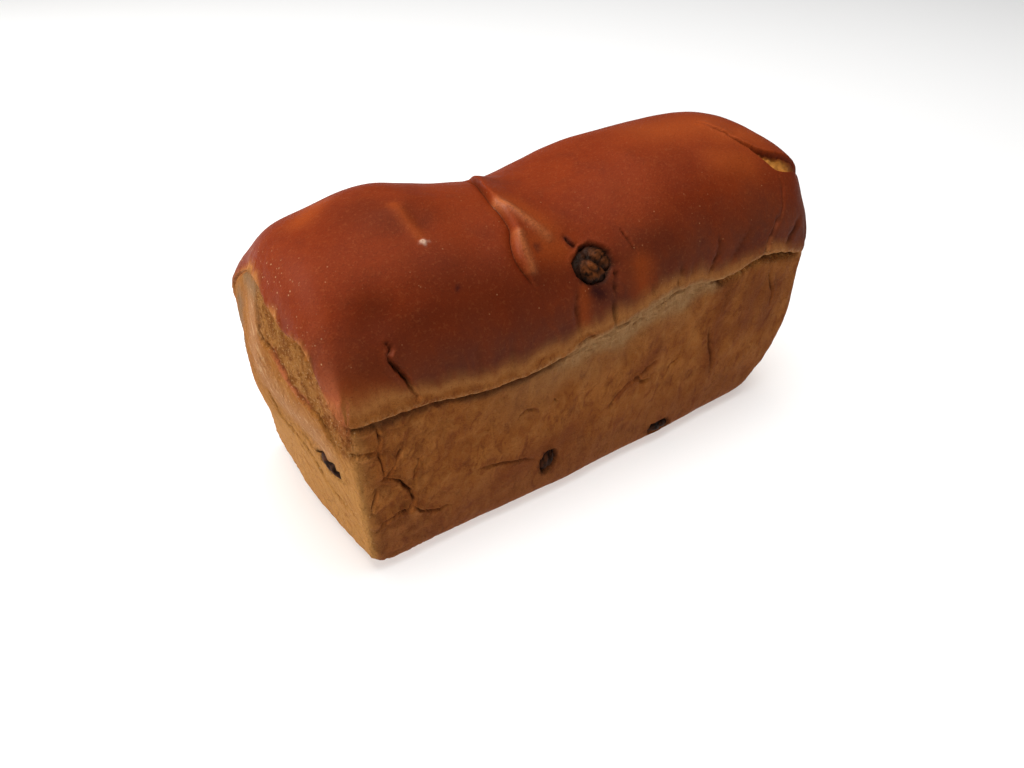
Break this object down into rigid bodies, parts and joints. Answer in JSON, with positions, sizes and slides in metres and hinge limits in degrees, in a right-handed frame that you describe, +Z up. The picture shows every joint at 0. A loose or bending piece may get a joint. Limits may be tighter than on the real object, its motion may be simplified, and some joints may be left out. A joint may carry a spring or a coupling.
{
  "type": "raisin tin loaf",
  "caption": "Whole uncut raisin loaf baked in a tin: flat tan walls, glossy red-brown crown in two lobes, torn seam, folds and cracks, with raisins showing in the crust.",
  "frame": {"origin": "bottom centre of the loaf's box, on the face that it rests on", "axes": "+X along the loaf's length, +Z up, the pictured long side faces -Y"},
  "size_m": [0.1994, 0.0892, 0.1023],
  "materials": {
    "crust": "baked crust, glossy brown crown and leathery tan walls",
    "raisin": "wrinkled dark raisin skin"
  },
  "bodies": {
    "root": {"loaf": "crust", "raisin_crown": "raisin", "raisin_side": "raisin", "raisin_base": "raisin", "raisin_end": "raisin", "raisin_back_wall": "raisin", "raisin_back_crown": "raisin", "raisin_right": "raisin"}
  },
  "joints": []
}
